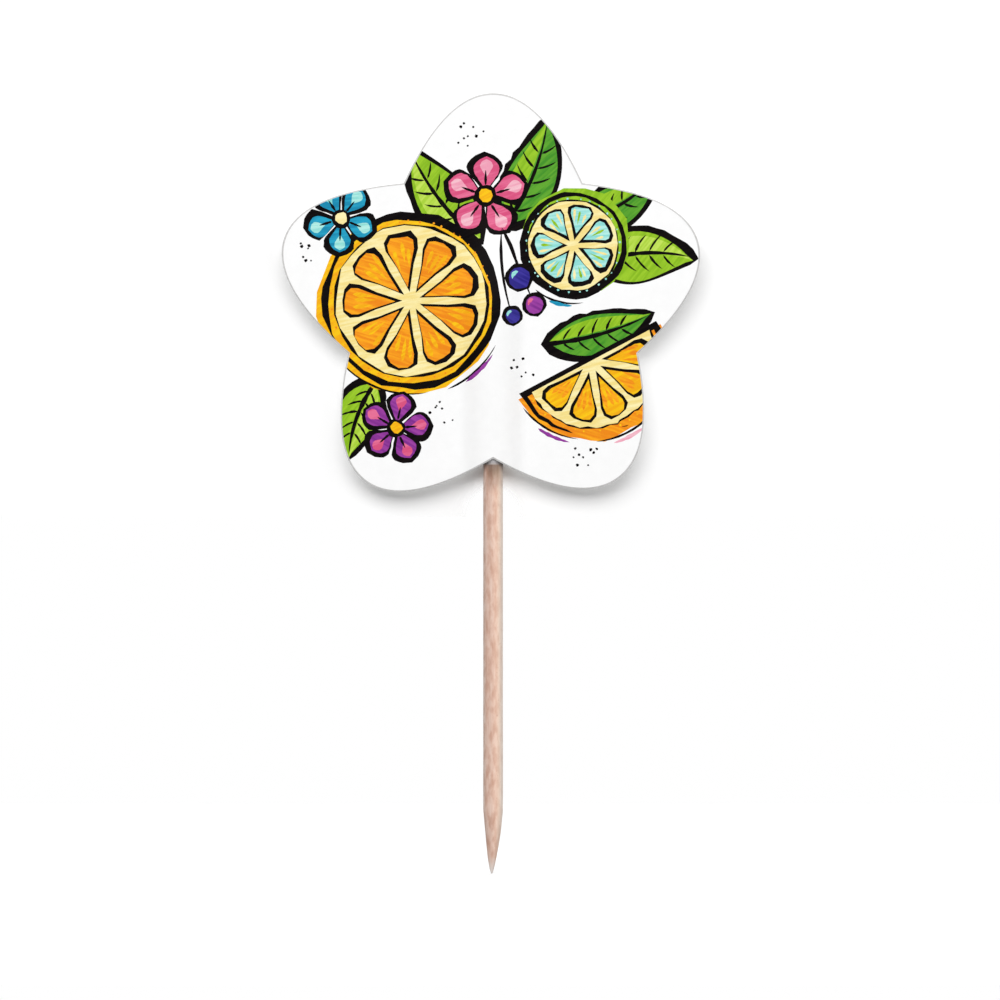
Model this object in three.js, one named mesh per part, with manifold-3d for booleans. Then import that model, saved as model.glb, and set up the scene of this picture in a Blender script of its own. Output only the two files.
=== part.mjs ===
// A cupcake pick: a flower-shaped topper of two cards, glued around the upper part of a round wooden pick.
// Sizes are in millimetres. +Z is up, the printed front card faces -Y, +X is to the right as seen from the
// front, and the origin is the lower point of the pick, which goes into the cake.

import * as THREE from "three";
import { mergeVertices } from "three/addons/utils/BufferGeometryUtils.js";
import Module from "manifold-3d";

// Wooden pick
const pickLength = 65;
const pickDiameter = 2.1;
const pointLength = 6.6;
// 1 would make a straight cone, and a lower number makes a fuller, blunter point.
const pointFullness = 0.6;

// Flower outline, seen from the front. The pick's upper point reaches this far past the flower's centre.
const pickPastCentre = 5.4;
const flowerReach = 22.6;
// The lobes are cut a little unevenly. This is what each has over flowerReach, from the top lobe on to the
// left.
const lobeTrim = [-0.2, 0.5, 0.2, -0.2, 0];
const notchReach = 16;
// Half the width over which the edge turns across a lobe's tip.
const lobeShoulder = 5;

// Layers
const cardThickness = 0.35;
const glueThickness = 0.1;
const glueSetback = 0.3;
// What the sheets have around the flower before it is stamped out of them.
const sheetMargin = 4;

// Ridge that each card forms over the pick
const pickClearance = 0.05;
const ridgeHalfWidth = 3.7;
// The ridge dies away over the pick's upper point and this much more.
const ridgeRunOut = 5;
// Between 1, straight sides without a rounded foot, and 2, sides that turn from crown to foot with no flat.
const ridgeCurl = 1.7;
// Share of the curved sides that belongs to the broad crown. The foot has the rest.
const crownShare = 0.68;
// Share of its width that the ridge has lost where it ends.
const ridgeNarrowing = 0.6;

// Fineness of the curves
const pickSides = 32;
const pointSteps = 10;
const lobeSteps = 14;
const ridgeArcSteps = 4;
const runOutSteps = 14;

const pickRadius = pickDiameter / 2;
const channelRadius = pickRadius + pickClearance;
const innerFace = glueThickness / 2;
const ridgeRise = channelRadius - innerFace;
const pointBase = pickLength - pointLength;
const ridgeEnd = pickLength + ridgeRunOut;
const halfDepth = channelRadius + cardThickness;
const flowerHeight = pickLength - pickPastCentre;
const lobeReach = lobeTrim.map((trim) => flowerReach + trim);

const wasm = await Module();
wasm.setup();

// Gives manifold-3d's solid for a closed three.js geometry.
function solidFrom(geometry) {
  const bare = geometry.clone();
  bare.deleteAttribute("normal");
  bare.deleteAttribute("uv");
  const welded = mergeVertices(bare);
  return new wasm.Manifold(new wasm.Mesh({
    numProp: 3,
    vertProperties: welded.attributes.position.array,
    triVerts: welded.index.array,
  }));
}

// Gives the flat-shaded three.js geometry of manifold-3d's solid.
function geometryFrom(solid) {
  const { vertProperties, triVerts } = solid.getMesh();
  const shared = new THREE.BufferGeometry();
  shared.setAttribute("position", new THREE.BufferAttribute(vertProperties, 3));
  shared.setIndex(new THREE.BufferAttribute(triVerts, 1));
  const flat = shared.toNonIndexed();
  flat.computeVertexNormals();
  return flat;
}

// The pick's radius at a distance from the nearer end.
function pickRadiusAt(distance) {
  const along = THREE.MathUtils.clamp(distance / pointLength, 0, 1);
  return pickRadius * along ** pointFullness;
}

function makePick() {
  const profile = [];
  for (let i = 0; i <= pointSteps; i++) {
    const distance = pointLength * (i / pointSteps) ** 2;
    profile.push(new THREE.Vector2(pickRadiusAt(distance), distance));
  }
  for (let i = pointSteps; i >= 0; i--) {
    const { x, y } = profile[i];
    profile.push(new THREE.Vector2(x, pickLength - y));
  }
  const geometry = new THREE.LatheGeometry(profile, pickSides);
  geometry.rotateX(Math.PI / 2);
  return geometry;
}

// The flower's outline as a shape whose Y is the model's Z, drawn in by a margin.
function flowerShape(margin) {
  const halfStep = Math.PI / lobeReach.length;
  const notchOut = (notchReach - margin) * Math.cos(halfStep);
  const notchAcross = (notchReach - margin) * Math.sin(halfStep);
  const shape = new THREE.Shape();
  lobeReach.forEach((reach, lobe) => {
    const turn = 2 * halfStep * lobe;
    const point = (across, out) => new THREE.Vector2(-across, out)
      .rotateAround(new THREE.Vector2(), turn)
      .add(new THREE.Vector2(0, flowerHeight));
    const tip = point(0, reach - margin);
    const shoulder = (side) => point(side * lobeShoulder, reach - margin);
    const notch = (side) => point(side * notchAcross, notchOut);
    if (lobe === 0) {
      shape.moveTo(...notch(-1));
    }
    shape.quadraticCurveTo(...shoulder(-1), ...tip);
    shape.quadraticCurveTo(...shoulder(1), ...notch(1));
  });
  return shape;
}

// Extrudes a front-view shape from back to front, centred on the plane of the pick's axis.
function frontExtrusion(shape, depth) {
  const geometry = new THREE.ExtrudeGeometry(shape, { depth, curveSegments: lobeSteps, bevelEnabled: false });
  geometry.rotateX(Math.PI / 2);
  geometry.translate(0, depth / 2, 0);
  return geometry;
}

// How much of its full height the ridge has at a height above the pick's lower point. It runs out smoothly
// past the pick's hidden upper point, and never sinks below that point.
function ridgeShareAt(z) {
  const runOut = 1 - THREE.MathUtils.smoothstep(z, pointBase, ridgeEnd);
  const overPoint = (pickRadiusAt(pickLength - z) + pickClearance - innerFace) / ridgeRise;
  return z < pickLength ? Math.max(runOut, overPoint) : runOut;
}

// The ridge's cross-section: a broad crown that lies on the pick, a straight side and a tighter foot. It
// gives points from the crown's middle to the foot, with their distance across and their rise.
function ridgeSection() {
  const slope = ridgeCurl * Math.atan(ridgeRise / ridgeHalfWidth);
  const drop = 1 - Math.cos(slope);
  const bothRadii = (ridgeHalfWidth * Math.sin(slope) - ridgeRise * Math.cos(slope)) / drop;
  const crownRadius = crownShare * bothRadii;
  const footRadius = bothRadii - crownRadius;
  const points = [];
  for (let i = 0; i <= ridgeArcSteps; i++) {
    const angle = slope * i / ridgeArcSteps;
    const fall = crownRadius * (1 - Math.cos(angle));
    points.push({ across: crownRadius * Math.sin(angle), rise: ridgeRise - fall });
  }
  for (let i = ridgeArcSteps; i >= 0; i--) {
    const angle = slope * i / ridgeArcSteps;
    const rise = footRadius * (1 - Math.cos(angle));
    points.push({ across: ridgeHalfWidth - footRadius * Math.sin(angle), rise });
  }
  return points;
}

// A sheet with the ridge pressed into it, as a grid of columns and rows of points on two faces. Side is
// -1 for the front card and 1 for the back one.
function embossedSheet(side) {
  const sheetHalfWidth = Math.max(...lobeReach) + sheetMargin;
  const sheetTop = Math.max(flowerHeight + sheetHalfWidth, ridgeEnd + sheetMargin);
  const half = ridgeSection();
  const mirrored = half.slice(1).reverse().map(({ across, rise }) => ({ across: -across, rise }));
  const ridge = [...mirrored, ...half];
  const heights = [flowerHeight - sheetHalfWidth];
  for (let i = 0; i <= runOutSteps; i++) {
    heights.push(THREE.MathUtils.lerp(pointBase, ridgeEnd, i / runOutSteps));
  }
  heights.push(sheetTop);

  const rows = heights.map((z) => {
    const share = ridgeShareAt(z);
    const past = THREE.MathUtils.clamp((z - pointBase) / (ridgeEnd - pointBase), 0, 1);
    const narrowed = 1 - ridgeNarrowing * past ** 2;
    const middle = ridge.map(({ across, rise }) => ({ x: across * narrowed, z, rise: rise * share }));
    return [{ x: -sheetHalfWidth, z, rise: 0 }, ...middle, { x: sheetHalfWidth, z, rise: 0 }];
  });
  return closedSheet(rows, side);
}

// The closed sheet over rows of points, one card thick. Its two faces stand off from their flat levels by
// each point's rise, outward on the given side.
function closedSheet(rows, side) {
  const across = rows[0].length;
  const perFace = rows.length * across;
  const levels = [side * innerFace, side * (innerFace + cardThickness)].sort((a, b) => a - b);
  const points = rows.flat();
  const positions = levels.flatMap((level) => (
    points.flatMap(({ x, z, rise }) => [x, level + side * rise, z])
  ));
  const index = [];
  const quad = (a, b, c, d) => index.push(a, b, c, a, c, d);
  const front = (row, column) => row * across + column;
  const back = (row, column) => perFace + front(row, column);
  const top = rows.length - 1;
  const right = across - 1;
  for (let row = 0; row < top; row++) {
    for (let column = 0; column < right; column++) {
      quad(front(row, column), front(row, column + 1), front(row + 1, column + 1), front(row + 1, column));
      quad(back(row, column), back(row + 1, column), back(row + 1, column + 1), back(row, column + 1));
    }
    quad(front(row, 0), front(row + 1, 0), back(row + 1, 0), back(row, 0));
    quad(front(row, right), back(row, right), back(row + 1, right), front(row + 1, right));
  }
  for (let column = 0; column < right; column++) {
    quad(front(0, column), back(0, column), back(0, column + 1), front(0, column + 1));
    quad(front(top, column), front(top, column + 1), back(top, column + 1), back(top, column));
  }
  const geometry = new THREE.BufferGeometry();
  geometry.setAttribute("position", new THREE.Float32BufferAttribute(positions, 3));
  geometry.setIndex(index);
  return geometry;
}

// A card is the embossed sheet, stamped out by a cutter of the flower's outline.
function makeCard(side) {
  const cutter = frontExtrusion(flowerShape(0), 4 * halfDepth);
  return geometryFrom(solidFrom(embossedSheet(side)).intersect(solidFrom(cutter)));
}

// The glue fills the flat gap between the cards and leaves the ridge's channel free for the pick.
function makeGlue() {
  const channel = new THREE.Shape();
  channel.moveTo(ridgeHalfWidth, pointBase);
  channel.absellipse(0, pointBase, ridgeHalfWidth, ridgeEnd - pointBase, 0, Math.PI, false, 0);
  channel.lineTo(-ridgeHalfWidth, 0);
  channel.lineTo(ridgeHalfWidth, 0);
  const film = frontExtrusion(flowerShape(glueSetback), glueThickness);
  const passage = frontExtrusion(channel, 4 * glueThickness);
  return geometryFrom(solidFrom(film).subtract(solidFrom(passage)));
}

function namedMesh(name, geometry, color, roughness) {
  const material = new THREE.MeshStandardMaterial({ color, roughness, metalness: 0 });
  const mesh = new THREE.Mesh(geometry, material);
  mesh.name = name;
  return mesh;
}

const cupcakePick = new THREE.Group();
cupcakePick.add(
  namedMesh("wooden_pick", makePick(), 0xd8b79c, 0.7),
  namedMesh("front_card", makeCard(-1), 0xfafafa, 0.35),
  namedMesh("back_card", makeCard(1), 0xfafafa, 0.45),
  namedMesh("glue_film", makeGlue(), 0xf1ead8, 0.3),
);

export default cupcakePick;
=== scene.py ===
# The looks of a cupcake pick: a printed, flower-shaped card topper on a round wooden pick.
# Lengths are in millimetres until a mesh, a lamp or the camera is made. +Z is up, the printed card faces -Y.
import math
import random

import bpy
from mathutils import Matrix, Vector, noise
from mathutils.geometry import delaunay_2d_cdt


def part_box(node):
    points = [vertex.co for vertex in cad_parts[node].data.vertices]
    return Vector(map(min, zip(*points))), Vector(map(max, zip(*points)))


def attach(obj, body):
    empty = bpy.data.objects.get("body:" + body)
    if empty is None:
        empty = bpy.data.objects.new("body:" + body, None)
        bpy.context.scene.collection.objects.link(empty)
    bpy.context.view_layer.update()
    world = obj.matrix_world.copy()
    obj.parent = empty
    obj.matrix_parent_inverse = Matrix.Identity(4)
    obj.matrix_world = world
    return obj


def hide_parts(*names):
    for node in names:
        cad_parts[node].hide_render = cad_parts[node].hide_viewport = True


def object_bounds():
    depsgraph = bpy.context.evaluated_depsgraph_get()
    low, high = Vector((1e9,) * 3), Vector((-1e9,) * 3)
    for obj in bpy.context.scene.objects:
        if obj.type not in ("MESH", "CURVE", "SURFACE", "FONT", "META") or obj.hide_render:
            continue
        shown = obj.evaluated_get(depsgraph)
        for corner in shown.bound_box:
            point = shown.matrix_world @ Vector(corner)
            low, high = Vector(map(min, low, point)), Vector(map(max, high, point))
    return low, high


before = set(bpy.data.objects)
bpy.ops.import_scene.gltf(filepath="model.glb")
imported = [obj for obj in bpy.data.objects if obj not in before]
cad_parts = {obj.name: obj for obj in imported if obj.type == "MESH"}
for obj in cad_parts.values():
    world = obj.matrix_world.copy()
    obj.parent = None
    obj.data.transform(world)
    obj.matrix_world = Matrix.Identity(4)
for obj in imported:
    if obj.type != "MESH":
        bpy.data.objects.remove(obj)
cad_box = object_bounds()

MM = 0.001
WHITE = (1, 1, 1, 1)

# Sizes read from the frame
pick_low, pick_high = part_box("wooden_pick")
card_low, card_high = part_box("front_card")
PICK_LENGTH = (pick_high.z - pick_low.z) / MM
PICK_RADIUS = (pick_high.x - pick_low.x) / 2 / MM
DEPTH = cad_box[1].y / MM

# The flower's outline, the same as the solid cards'. The lobes are cut a little unevenly, and their reaches
# go from the top lobe on to the left.
LOBE_REACH = (22.4, 23.1, 22.8, 22.4, 22.6)
NOTCH_REACH = 16
LOBE_SHOULDER = 5
LOBE_STEPS = 36
HALF_STEP = math.pi / len(LOBE_REACH)
FLOWER_HEIGHT = card_high.z / MM - LOBE_REACH[0]
BOTTOM_NOTCH = FLOWER_HEIGHT - NOTCH_REACH

# The layers, the pick's points and the ridge over the pick, the same as the solid pieces'
CARD_THICKNESS = 0.35
INNER_FACE = 0.05
POINT_LENGTH = 6.6
POINT_FULLNESS = 0.6
PICK_CLEARANCE = 0.05
RIDGE_HALF_WIDTH = 3.7
RIDGE_RUN_OUT = 5
RIDGE_CURL = 1.7
CROWN_SHARE = 0.68
RIDGE_NARROWING = 0.6
CHANNEL_RADIUS = PICK_RADIUS + PICK_CLEARANCE
RIDGE_RISE = CHANNEL_RADIUS - INNER_FACE
POINT_BASE = PICK_LENGTH - POINT_LENGTH
RIDGE_END = PICK_LENGTH + RIDGE_RUN_OUT
RIDGE_SLOPE = RIDGE_CURL * math.atan(RIDGE_RISE / RIDGE_HALF_WIDTH)

# Fineness of the ridge's edges, which start this far below the bottom notch
BELOW_NOTCH = 1
CROWN_STEPS = 8
FOOT_STEPS = 7
RUN_OUT_STEPS = 16

# The die rounds each card's outer edge a little. The curves here are finer than the solid cards' and would
# pass them by a few thousandths, so the cut keeps this far inside.
CUT_MARGIN = 0.01
# The rounded edge band is painted grey, as painted edge shade that draws a dark line along the card's
# outline.
EDGE_WIDTH = 0.2
EDGE_DROP = 0.05
# Edges that turn by more degrees than this stay sharp.
SHARP_ANGLE = 10

# The pick's skin is uneven by this share of its radius, in waves that have these paces around and along it.
SKIN_DEPTH = 0.014
SKIN_AROUND = 2.2
SKIN_ALONG = 0.35
PICK_SIDES = 72
SHAFT_STEPS = 60
POINT_STEPS = 14
# The lower point is cut a little to the left of the axis, over this share of its length.
POINT_ASIDE = 0.14
ASIDE_SHARE = 0.8


def mix(a, b, share):
    return a + (b - a) * share


def clamp(value):
    return min(max(value, 0.0), 1.0)


def smoothstep(value, low, high):
    share = clamp((value - low) / (high - low))
    return share * share * (3 - 2 * share)


# The card's shape

def flower_outline(margin):
    """The outline's points in the front view, counter-clockwise from the top lobe's right notch."""
    notch_out = (NOTCH_REACH - margin) * math.cos(HALF_STEP)
    notch_across = (NOTCH_REACH - margin) * math.sin(HALF_STEP)
    points = []
    for lobe, reach in enumerate(LOBE_REACH):
        turn = 2 * HALF_STEP * lobe
        tip = Vector((0, reach - margin))
        for side in (1, -1):
            notch = Vector((side * notch_across, notch_out))
            shoulder = Vector((side * LOBE_SHOULDER, reach - margin))
            ends = (notch, tip) if side > 0 else (tip, notch)
            for point in curve(ends[0], shoulder, ends[1], LOBE_STEPS)[:-1]:
                points.append(rotated(point, turn) + Vector((0, FLOWER_HEIGHT)))
    return points


def rotated(point, turn):
    cosine, sine = math.cos(turn), math.sin(turn)
    return Vector((point.x * cosine - point.y * sine, point.x * sine + point.y * cosine))


def curve(start, control, end, steps):
    """Points along a quadratic curve."""
    points = []
    for i in range(steps + 1):
        share = i / steps
        points.append(start.lerp(control, share).lerp(control.lerp(end, share), share))
    return points


def pick_radius_at(distance):
    """The pick's radius at a distance from its nearer end."""
    return PICK_RADIUS * clamp(distance / POINT_LENGTH) ** POINT_FULLNESS


def both_radii():
    """The radii of the ridge's crown and foot, added up, for sides that turn by the slope and back."""
    leaning = RIDGE_HALF_WIDTH * math.sin(RIDGE_SLOPE) - RIDGE_RISE * math.cos(RIDGE_SLOPE)
    return leaning / (1 - math.cos(RIDGE_SLOPE))


CROWN_RADIUS = CROWN_SHARE * both_radii()
FOOT_RADIUS = both_radii() - CROWN_RADIUS
CROWN_EDGE = CROWN_RADIUS * math.sin(RIDGE_SLOPE)
FOOT_EDGE = RIDGE_HALF_WIDTH - FOOT_RADIUS * math.sin(RIDGE_SLOPE)


def narrowed(z):
    """The ridge's share of its full width at a height."""
    past = clamp((z - POINT_BASE) / (RIDGE_END - POINT_BASE))
    return 1 - RIDGE_NARROWING * past ** 2


def ridge_share(z):
    """The ridge's share of its full height at a height. It never sinks below the pick's hidden point."""
    run_out = 1 - smoothstep(z, POINT_BASE, RIDGE_END)
    if z >= PICK_LENGTH:
        return run_out
    over_point = (pick_radius_at(PICK_LENGTH - z) + PICK_CLEARANCE - INNER_FACE) / RIDGE_RISE
    return max(run_out, over_point)


def ridge_section(across):
    """The full ridge's rise at a distance from the pick's axis: a crown, a straight side and a foot."""
    if across >= RIDGE_HALF_WIDTH:
        return 0
    if across <= CROWN_EDGE:
        return RIDGE_RISE - CROWN_RADIUS + math.sqrt(CROWN_RADIUS ** 2 - across ** 2)
    if across >= FOOT_EDGE:
        inward = RIDGE_HALF_WIDTH - across
        return FOOT_RADIUS - math.sqrt(FOOT_RADIUS ** 2 - inward ** 2)
    high = ridge_section(CROWN_EDGE)
    return high - (across - CROWN_EDGE) * math.tan(RIDGE_SLOPE)


def ridge_rise(x, z):
    return ridge_share(z) * ridge_section(abs(x) / narrowed(z))


def ridge_columns():
    """Distances across the full ridge where its curves get an edge."""
    crown = [CROWN_RADIUS * math.sin(RIDGE_SLOPE * i / CROWN_STEPS) for i in range(CROWN_STEPS + 1)]
    foot = []
    for i in range(FOOT_STEPS, -1, -1):
        foot.append(RIDGE_HALF_WIDTH - FOOT_RADIUS * math.sin(RIDGE_SLOPE * i / FOOT_STEPS))
    half = crown + foot
    return [-x for x in reversed(half[1:])] + half


def ridge_lines():
    """The grid of points over the ridge, and the edges along its columns and across its run-out."""
    columns = ridge_columns()
    heights = [BOTTOM_NOTCH - BELOW_NOTCH]
    heights += [mix(POINT_BASE, RIDGE_END, i / RUN_OUT_STEPS) for i in range(RUN_OUT_STEPS + 1)]
    points = [Vector((x * narrowed(z), z)) for z in heights for x in columns]
    edges = []
    for row in range(len(heights)):
        for column in range(len(columns)):
            here = row * len(columns) + column
            if row + 1 < len(heights):
                edges.append((here, here + len(columns)))
            if row > 0 and column + 1 < len(columns):
                edges.append((here, here + 1))
    return points, edges


# The print. Places are in millimetres from the flower's centre, and later shapes cover earlier ones. Each
# figure has a seed, and its shapes draw their chances from that seed with a number added to it.

LINE = 0.5
FINE_LINE = 0.16
MISREGISTER = 0.2
# Corners of the print that lie nearer than this to each other become one.
WELD = 0.001

# Hand-cut discs. A corner slips by up to this share of the way to the next one.
DISC_CORNERS = 30
DISC_ROUGHNESS = 0.02
CORNER_SLIP = 0.3

# Brush lines
STROKE_FULLNESS = 0.6
STROKE_WAVER = (0.75, 1.2)
ECHO_STEP = 0.24
BLACK_ECHO = 1.5 * FINE_LINE
INK_ECHO = 2.4 * FINE_LINE

DOT_RADII = (0.1, 0.2)
DOT_CORNERS = 6
DOT_ROUGHNESS = 0.2

# Citrus slices. The first five are shares of the fruit's radius, and the gap is one of a segment's angle.
PITH = 0.87
SEGMENT_END = 0.79
SEGMENT_START = 0.1
CUT_SEGMENT_START = 0.14
FLESH_STROKE = 0.05
SEGMENT_GAP = 0.09
# Half a segment's outline, as pairs of a share of its angle and a share of its length
SEGMENT_SIDE = ((0.12, 0.45), (0.02, 0.74), (0.07, 0.90), (0.24, 0.98))
SEGMENT_ROUGHNESS = 0.025
FLESH_START = 1.2 * LINE
FLESH_END = 0.8 * LINE
RIND_LINE = 1.3 * LINE
RIND_SPREAD = 0.15
RIND_CORNERS = 17
RIND_ROUGHNESS = 0.03
# How much of the fruit's misregister its rind's colour and its flesh have
RIND_DRIFT = 2.6
FLESH_DRIFT = 0.6
# The pores for each millimetre of radius, and where they lie between their neighbours and across the rind
PORES = 5
PORE_SLIP = (0.2, 0.8)
PORE_DEPTH = (0.35, 0.7)
PORE_RADII = (0.08, 0.14)
# The brush lines on a segment's flesh: the first and the step, as shares of its angle, their slip, and where
# they start and end, as shares of its length
FLESH_LINES = 3
FLESH_LINE_FIRST = 0.3
FLESH_LINE_STEP = 0.2
FLESH_LINE_SLIP = 0.03
FLESH_LINE_LOW = (0.42, 0.55)
FLESH_LINE_HIGH = (0.75, 0.88)

# Leaves. The blade's ends are shares of the leaf's length, and its glow's edges are shares of half its width.
# The veins start at a share of a bold line, lean by a share of the leaf's width and reach one of half of it.
LEAF_STEPS = 16
LEAF_LEAN = 0.8
LEAF_FULLNESS = 0.85
LEAF_WAVER = (0.93, 1.07)
BLADE_START = 0.06
BLADE_END = 0.05
BLADE_DRIFT = 0.7 * MISREGISTER
GLOW_EDGE = 0.82
GLOW_GAP = 0.12
MIDRIB_HEAVY = 0.25
VEIN_EVERY = 2
VEIN_MARGIN = 3
VEIN_START = 0.3
VEIN_LEAN = 0.24
VEIN_REACH = (0.55, 0.75)
VEIN_BEND = 0.12
VEIN_STEPS = 6
VEIN_LINE = 1.6 * FINE_LINE

# Blossoms. The petals' widths are added up, in the blossom's radii. What follows them are shares of that
# radius, but the glow's width is a share of a petal's.
PETALS = 5
PETAL_SLIP = 0.05
FILL_SLIP = 0.04
PETAL_STEPS = 12
PETAL_LEAN = 1.7
PETAL_FULLNESS = 0.75
PETAL_WAVER = (0.95, 1.05)
PETAL_DRIFT = 0.6 * MISREGISTER
PETAL_OUTLINE = LINE * 0.55
PETAL_MARGIN = LINE * 0.3
PETAL_LINE = 1.7 * FINE_LINE
PETAL_WIDTHS = 3.6
FILL_START = 0.1
PETAL_GLOW = (0.45, 0.9)
PETAL_GLOW_WIDTH = 0.42
PETAL_VEIN = (0.25, 0.62)
HEART_EDGE = 0.27
HEART = 0.17
HEART_DRIFT = Vector((0.05, 0.05))
HEART_EDGE_CUT = {"corners": 12, "roughness": 0.08}
HEART_CUT = {"corners": 9, "roughness": 0.1}

# Berries
BERRY_LINE = 0.7 * LINE
BERRY_DRIFT = Vector((0.08, -0.05))
BERRY_EDGE_CUT = {"corners": 14, "roughness": 0.05}
BERRY_CUT = {"corners": 12, "roughness": 0.05}
SHINE_REACH = 0.45
SHINE_WIDTH = 0.26
SHINE_SPAN = (math.radians(95), math.radians(190))
SHINE_STEPS = 6
STEM_LINE = 2 * FINE_LINE
STEM_ROOT = Vector((0.9, 8.3))
# The first stem's bend, and how much less each next one has
STEM_BEND = 0.12
STEM_SPREAD = 0.11

art = []


def lay(ink, points):
    """Adds one printed shape, with its points put in counter-clockwise order."""
    area = sum(a.x * b.y - b.x * a.y for a, b in zip(points, points[1:] + points[:1]))
    ordered = points if area > 0 else points[::-1]
    art.append((ink, [point + Vector((0, FLOWER_HEIGHT)) for point in ordered]))


def towards(angle, length):
    return Vector((math.cos(angle), math.sin(angle))) * length


def arc(centre, radius, start, end, steps=12):
    return [centre + towards(mix(start, end, i / steps), radius) for i in range(steps + 1)]


def line(start, end, bend=0.0, steps=8):
    """Points along a line. Bend draws its middle to the left, by a share of its length."""
    along = end - start
    control = start.lerp(end, 0.5) + Vector((-along.y, along.x)) * bend
    return curve(start, control, end, steps)


def swell(share, lean, fullness):
    """A smooth rise and fall along a shape, from 0 to 0. A higher lean moves its peak on along the shape,
    and a lower fullness makes the shape blunter."""
    return math.sin(math.pi * share ** lean) ** fullness if 0 < share < 1 else 0


def blob(centre, radius, seed, corners=DISC_CORNERS, roughness=DISC_ROUGHNESS, start=0.0, sweep=math.tau):
    """A hand-cut disc, or a part of one that its chord closes."""
    chance = random.Random(seed)
    whole = sweep == math.tau
    points = []
    for i in range(corners if whole else corners + 1):
        slip = chance.uniform(-CORNER_SLIP, CORNER_SLIP) if whole or 0 < i < corners else 0
        reach = radius * (1 + chance.uniform(-roughness, roughness))
        points.append(centre + towards(start + sweep * (i + slip) / corners, reach))
    return points


def ribbon(path, left, right):
    """A shape along a path, with its reach to the left and the right of each point. Its ends are points."""
    last = len(path) - 1
    lefts, rights = [], []
    for i in range(1, last):
        along = (path[i + 1] - path[i - 1]).normalized()
        across = Vector((-along.y, along.x))
        lefts.append(path[i] + across * left[i])
        rights.append(path[i] - across * right[i])
    return [path[0]] + rights + [path[last]] + lefts[::-1]


def stroke(ink, path, width, seed, heavy=0.4):
    """A brush line that swells and tapers. Heavy is where along it the line is widest."""
    chance = random.Random(seed)
    last = len(path) - 1
    lean = math.log(0.5) / math.log(heavy)
    reach = []
    for i in range(last + 1):
        reach.append(width / 2 * swell(i / last, lean, STROKE_FULLNESS) * chance.uniform(*STROKE_WAVER))
    lay(ink, ribbon(path, reach, reach))


def dots(centre, count, spread, seed):
    """A loose scatter of small black dots."""
    chance = random.Random(seed)
    for i in range(count):
        angle = chance.uniform(0, math.tau)
        place = Vector(centre) + towards(angle, spread * math.sqrt(chance.random()))
        radius = chance.uniform(*DOT_RADII)
        lay("black", blob(place, radius, seed + i, corners=DOT_CORNERS, roughness=DOT_ROUGHNESS))


def echoes(centre, radius, spans, seed):
    """Thin broken lines in a few inks that repeat a round outline just outside it."""
    for i, (ink, start, end) in enumerate(spans):
        path = arc(centre, radius + ECHO_STEP * i, start, end)
        stroke(ink, path, BLACK_ECHO if ink == "black" else INK_ECHO, seed + i)


def wedge(centre, near, far, start, sweep, seed):
    """One citrus segment: a point at the wheel's centre and a rounded outer end."""
    chance = random.Random(seed)
    mirrored = tuple((1 - turn, reach) for turn, reach in reversed(SEGMENT_SIDE))
    points = []
    for turn, reach in ((0.5, 0.0), *SEGMENT_SIDE, (0.5, 1.0), *mirrored):
        length = mix(near, far, reach) * (1 + chance.uniform(-SEGMENT_ROUGHNESS, SEGMENT_ROUGHNESS))
        points.append(centre + towards(start + sweep * turn, length))
    return points


def citrus(centre, radius, seed, segments, inks, start=0.0, sweep=math.tau):
    """A slice of citrus fruit, whole or cut across: rind, pith and segments in bold uneven outlines. Its
    inks are those of the rind, the flesh and the light on the flesh."""
    rind, flesh, _ = inks
    chance = random.Random(seed)
    drift = towards(chance.uniform(0, math.tau), MISREGISTER)
    part = {"start": start, "sweep": sweep}
    middle = centre if sweep == math.tau else centre + towards(start + sweep / 2, LINE)
    spread = {"corners": RIND_CORNERS, "roughness": RIND_ROUGHNESS}
    lay(rind, blob(centre + RIND_DRIFT * drift, radius + RIND_SPREAD, seed, **spread, **part))
    lay("black", blob(centre, radius, seed + 1, **part))
    lay(rind, blob(middle + drift, radius - RIND_LINE, seed + 2, **part))
    citrus_pores(middle, radius, seed, chance, flesh, **part)
    lay("black", blob(middle, radius * PITH, seed + 3, **part))
    lay("cream", blob(middle, radius * PITH - FINE_LINE, seed + 4, **part))
    citrus_segments(middle, radius, seed, chance, drift, segments, inks, **part)


def citrus_pores(centre, radius, seed, chance, ink, start, sweep):
    """Fine dots around the middle of the rind."""
    count = round(PORES * radius * sweep / math.tau)
    for i in range(count):
        angle = start + sweep * (i + chance.uniform(*PORE_SLIP)) / count
        reach = mix(PITH * radius, radius - RIND_LINE, chance.uniform(*PORE_DEPTH))
        pore = chance.uniform(*PORE_RADII)
        lay(ink, blob(centre + towards(angle, reach), pore, seed + i, corners=DOT_CORNERS))


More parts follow.
